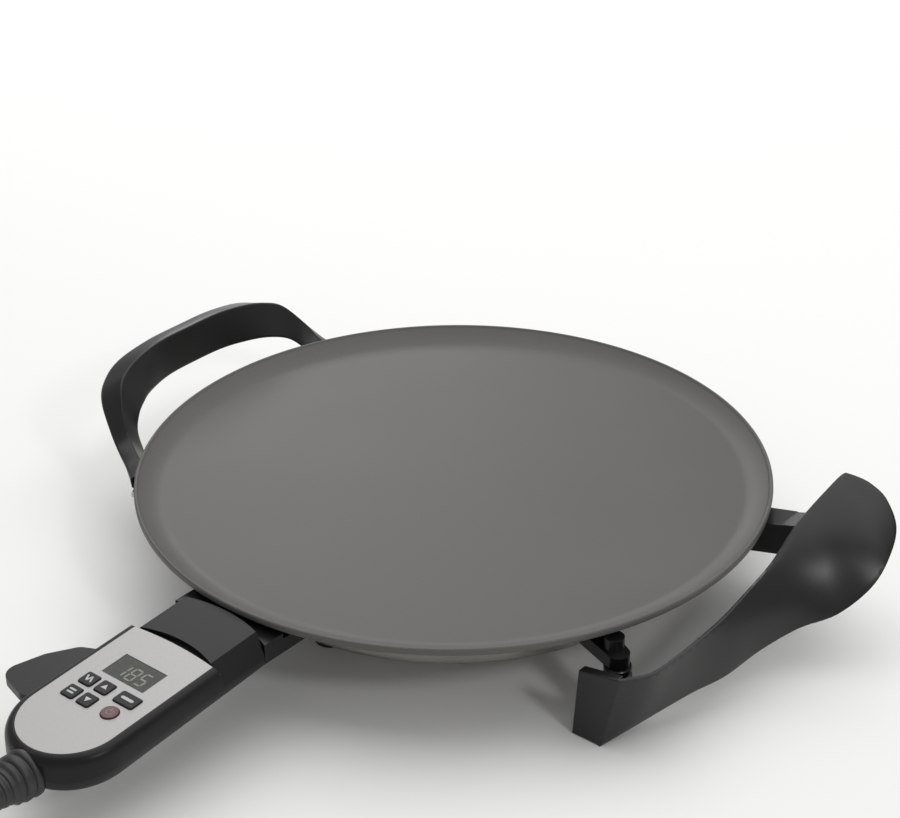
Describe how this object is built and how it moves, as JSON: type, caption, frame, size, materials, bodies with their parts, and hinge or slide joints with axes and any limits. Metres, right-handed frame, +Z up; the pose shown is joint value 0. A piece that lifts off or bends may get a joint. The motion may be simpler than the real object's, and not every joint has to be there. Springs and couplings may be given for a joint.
{
  "type": "electric griddle",
  "caption": "Round electric griddle with a shallow lip, a loop handle, a sculpted leg handle and a plug-in digital temperature controller with keys and cord.",
  "frame": {"origin": "centre of the cooking surface", "axes": "+Z up, square to the cooking surface; the controller points along -Y, the leg handle is on the +X side and the loop handle on the -X side"},
  "size_m": [0.4871, 0.7235, 0.0905],
  "materials": {
    "nonstick_coating": "satin",
    "steel_sheet": "brushed",
    "heater_steel": "satin",
    "aluminium_fittings": "satin",
    "steel_hardware": "gloss",
    "phenolic": "satin",
    "ceramic": "matte",
    "brass_contacts": "satin",
    "soft_pads": "matte",
    "controller_plastic": "satin",
    "silver_panel": "satin",
    "display_window": "gloss",
    "display_module": "gloss",
    "board": "satin",
    "switch_plastic": "matte",
    "relay_case": "gloss",
    "key_plastic": "satin",
    "power_key_plastic": "satin",
    "wire": "gloss",
    "cord_rubber": "matte"
  },
  "bodies": {
    "griddle": {"griddle_plate": "nonstick_coating", "base_pan": "steel_sheet", "heating_ring": "heater_steel", "element_clamps": "aluminium_fittings", "clamp_screws": "steel_hardware", "centre_stud": "steel_hardware", "centre_nut": "steel_hardware", "heat_shield": "aluminium_fittings", "terminal_block": "ceramic", "terminal_pins": "brass_contacts", "sensor_sleeve": "aluminium_fittings", "socket_guard": "phenolic", "guard_screws": "steel_hardware", "pan_feet": "phenolic", "foot_pads": "soft_pads", "foot_screws": "steel_hardware", "leg_handle": "phenolic", "leg_arm_near": "phenolic", "leg_arm_far": "phenolic", "leg_handle_screws": "steel_hardware", "loop_handle": "phenolic", "loop_brackets": "steel_hardware", "loop_handle_screws": "steel_hardware"},
    "controller": {"controller_cover": "controller_plastic", "controller_base": "controller_plastic", "contact_carrier": "ceramic", "contact_tubes": "brass_contacts", "sensor_rod": "heater_steel", "front_panel": "silver_panel", "display_window": "display_window", "display_module": "display_module", "circuit_board": "board", "key_switches": "switch_plastic", "relay": "relay_case", "cord_clamp": "switch_plastic", "housing_screws": "steel_hardware", "lever_pin": "steel_hardware", "lever_spring": "steel_hardware", "supply_wires": "wire", "strain_relief": "cord_rubber", "power_cord": "cord_rubber", "cord_coil": "cord_rubber", "cord_tail": "cord_rubber", "plug_body": "cord_rubber", "plug_blades": "brass_contacts"},
    "up_key_cap": {"up_key": "key_plastic"},
    "down_key_cap": {"down_key": "key_plastic"},
    "mode_key_cap": {"mode_key": "key_plastic"},
    "set_key_cap": {"set_key": "key_plastic"},
    "timer_key_cap": {"timer_key": "key_plastic"},
    "power_key_cap": {"power_key": "power_key_plastic"},
    "lever": {"release_lever": "controller_plastic"}
  },
  "joints": [
    {"name": "controller_pull", "type": "slide", "parent": "griddle", "child": "controller", "axis": [0, -1, 0], "range_m": [0, 0.06]},
    {"name": "up_key_press", "type": "slide", "parent": "controller", "child": "up_key_cap", "axis": [0, 0.0419, -0.9991], "range_m": [0, 0.0005], "stiffness_N_per_m": 600, "springref_m": -0.0006},
    {"name": "down_key_press", "type": "slide", "parent": "controller", "child": "down_key_cap", "axis": [0, 0.0419, -0.9991], "range_m": [0, 0.0005], "stiffness_N_per_m": 600, "springref_m": -0.0006},
    {"name": "mode_key_press", "type": "slide", "parent": "controller", "child": "mode_key_cap", "axis": [0, 0.0419, -0.9991], "range_m": [0, 0.0005], "stiffness_N_per_m": 600, "springref_m": -0.0006},
    {"name": "set_key_press", "type": "slide", "parent": "controller", "child": "set_key_cap", "axis": [0, 0.0419, -0.9991], "range_m": [0, 0.0005], "stiffness_N_per_m": 600, "springref_m": -0.0006},
    {"name": "timer_key_press", "type": "slide", "parent": "controller", "child": "timer_key_cap", "axis": [0, 0.0419, -0.9991], "range_m": [0, 0.0005], "stiffness_N_per_m": 600, "springref_m": -0.0006},
    {"name": "power_key_press", "type": "slide", "parent": "controller", "child": "power_key_cap", "axis": [0, 0.0419, -0.9991], "range_m": [0, 0.0005], "stiffness_N_per_m": 600, "springref_m": -0.0006},
    {"name": "lever_swing", "type": "hinge", "parent": "controller", "child": "lever", "pos_m": [-0.029, -0.243, -0.013], "axis": [0, 0, 1], "range_deg": [0, 8], "stiffness_Nm_per_rad": 0.08, "springref_deg": -5.73}
  ]
}
